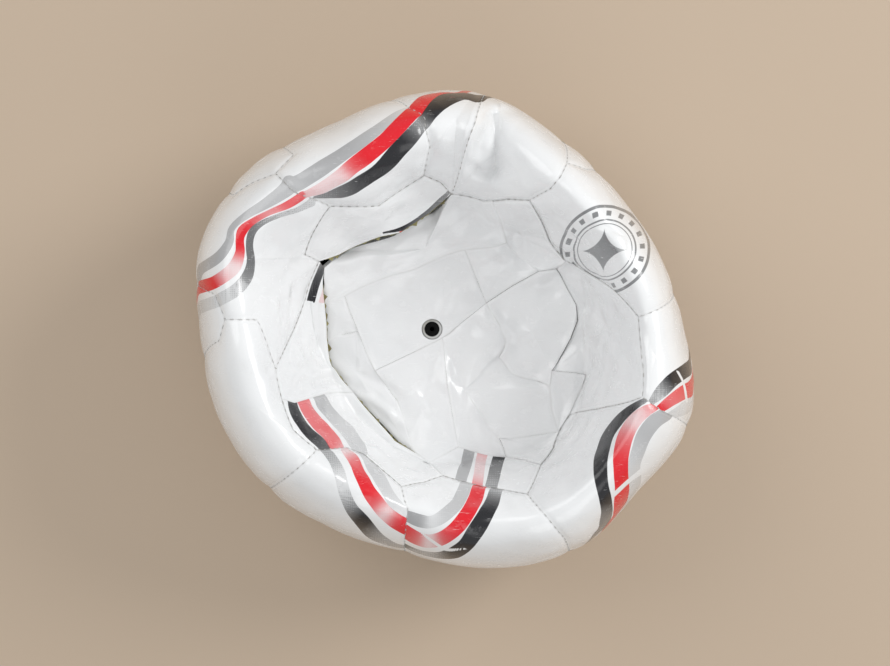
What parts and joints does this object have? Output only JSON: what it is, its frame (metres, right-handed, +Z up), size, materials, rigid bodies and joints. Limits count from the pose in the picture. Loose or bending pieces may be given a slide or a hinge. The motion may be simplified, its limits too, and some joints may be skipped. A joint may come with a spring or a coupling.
{
  "type": "deflated football",
  "caption": "Stitched ball that has lost its air: round side and foot, top pushed in to a crumpled hollow with creased panels and the valve at its floor.",
  "frame": {"origin": "centre of the overall box, on the surface that the ball stands on", "axes": "+Z up, out of the hollow; +X to the side with the round badge place; +Y to the pleated side"},
  "size_m": [0.2248, 0.2157, 0.1236],
  "materials": {
    "cover_vinyl": "glossy white vinyl with printed bands",
    "bladder_rubber": "matte",
    "sleeve_rubber": "matte",
    "plug_rubber": "satin"
  },
  "bodies": {
    "root": {"panel_side_right": "cover_vinyl", "panel_side_badge": "cover_vinyl", "panel_side_corner": "cover_vinyl", "panel_side_pleat": "cover_vinyl", "panel_side_top": "cover_vinyl", "panel_side_wave": "cover_vinyl", "panel_side_upper_left": "cover_vinyl", "panel_side_bend": "cover_vinyl", "panel_side_left_corner": "cover_vinyl", "panel_side_left": "cover_vinyl", "panel_side_lower_left": "cover_vinyl", "panel_side_front": "cover_vinyl", "panel_side_lower_right": "cover_vinyl", "panel_slope_top": "cover_vinyl", "panel_slope_pocket": "cover_vinyl", "panel_slope_right": "cover_vinyl", "panel_slope_left": "cover_vinyl", "panel_slope_stripe": "cover_vinyl", "panel_slope_front": "cover_vinyl", "panel_floor_valve": "cover_vinyl", "panel_floor_top": "cover_vinyl", "panel_floor_left": "cover_vinyl", "panel_floor_lower_left": "cover_vinyl", "panel_floor_front": "cover_vinyl", "panel_floor_centre": "cover_vinyl", "panel_floor_wedge": "cover_vinyl", "panel_floor_raised": "cover_vinyl", "panel_floor_tab": "cover_vinyl", "panel_floor_corner": "cover_vinyl", "panel_under_1": "cover_vinyl", "panel_under_2": "cover_vinyl", "panel_under_3": "cover_vinyl", "panel_under_4": "cover_vinyl", "panel_under_5": "cover_vinyl", "panel_under_6": "cover_vinyl", "panel_base": "cover_vinyl", "bladder": "bladder_rubber", "valve_sleeve": "sleeve_rubber", "valve_plug": "plug_rubber"}
  },
  "joints": []
}
